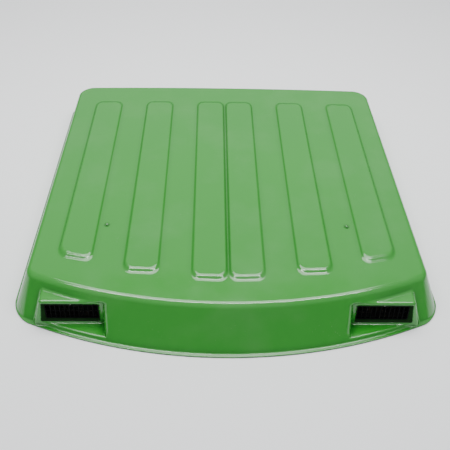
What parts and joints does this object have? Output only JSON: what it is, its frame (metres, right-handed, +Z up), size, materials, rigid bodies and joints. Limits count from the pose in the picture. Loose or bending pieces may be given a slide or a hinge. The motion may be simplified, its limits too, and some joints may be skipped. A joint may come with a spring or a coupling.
{
  "type": "tractor cab roof",
  "caption": "Moulded outer roof for a tractor cab: bowed front, raised ribs, two front air intakes and a hidden rubber-mounted steel frame.",
  "frame": {"origin": "centre of the rim plane, on the bottom of the object's box", "axes": "+X to the right, +Y to the rear (the bowed edge with the intakes faces -Y), +Z up"},
  "size_m": [1.556, 1.5598, 0.1615],
  "materials": {
    "roof_plastic": "gloss",
    "duct_plastic": "matte",
    "seal_rubber": "matte",
    "filter_paper": "matte",
    "frame_steel": "satin",
    "zinc_steel": "satin",
    "foam": "matte"
  },
  "bodies": {
    "root": {"roof_shell": "roof_plastic", "rim_seal": "seal_rubber", "intake_housing_right": "duct_plastic", "intake_filter_right": "filter_paper", "intake_grille_right": "duct_plastic", "intake_gasket_right": "seal_rubber", "intake_screws_right": "zinc_steel", "intake_housing_left": "duct_plastic", "intake_filter_left": "filter_paper", "intake_grille_left": "duct_plastic", "intake_gasket_left": "seal_rubber", "intake_screws_left": "zinc_steel", "front_cross_member": "frame_steel", "middle_cross_member": "frame_steel", "rear_cross_member": "frame_steel", "side_rail_left": "frame_steel", "side_rail_right": "frame_steel", "mount_bracket_front_left": "frame_steel", "mount_bracket_front_right": "frame_steel", "mount_bracket_rear_left": "frame_steel", "mount_bracket_rear_right": "frame_steel", "insulation_front": "foam", "insulation_middle": "foam", "insulation_rear": "foam", "gusset_plates": "frame_steel", "gusset_rivets": "zinc_steel", "mount_bushes": "seal_rubber", "mount_sleeves": "zinc_steel", "bracket_bolts": "zinc_steel", "bracket_nuts": "zinc_steel", "skin_bolts": "zinc_steel", "skin_bolt_washers": "seal_rubber", "skin_bolt_spacers": "zinc_steel", "skin_bolt_nuts": "zinc_steel"}
  },
  "joints": []
}
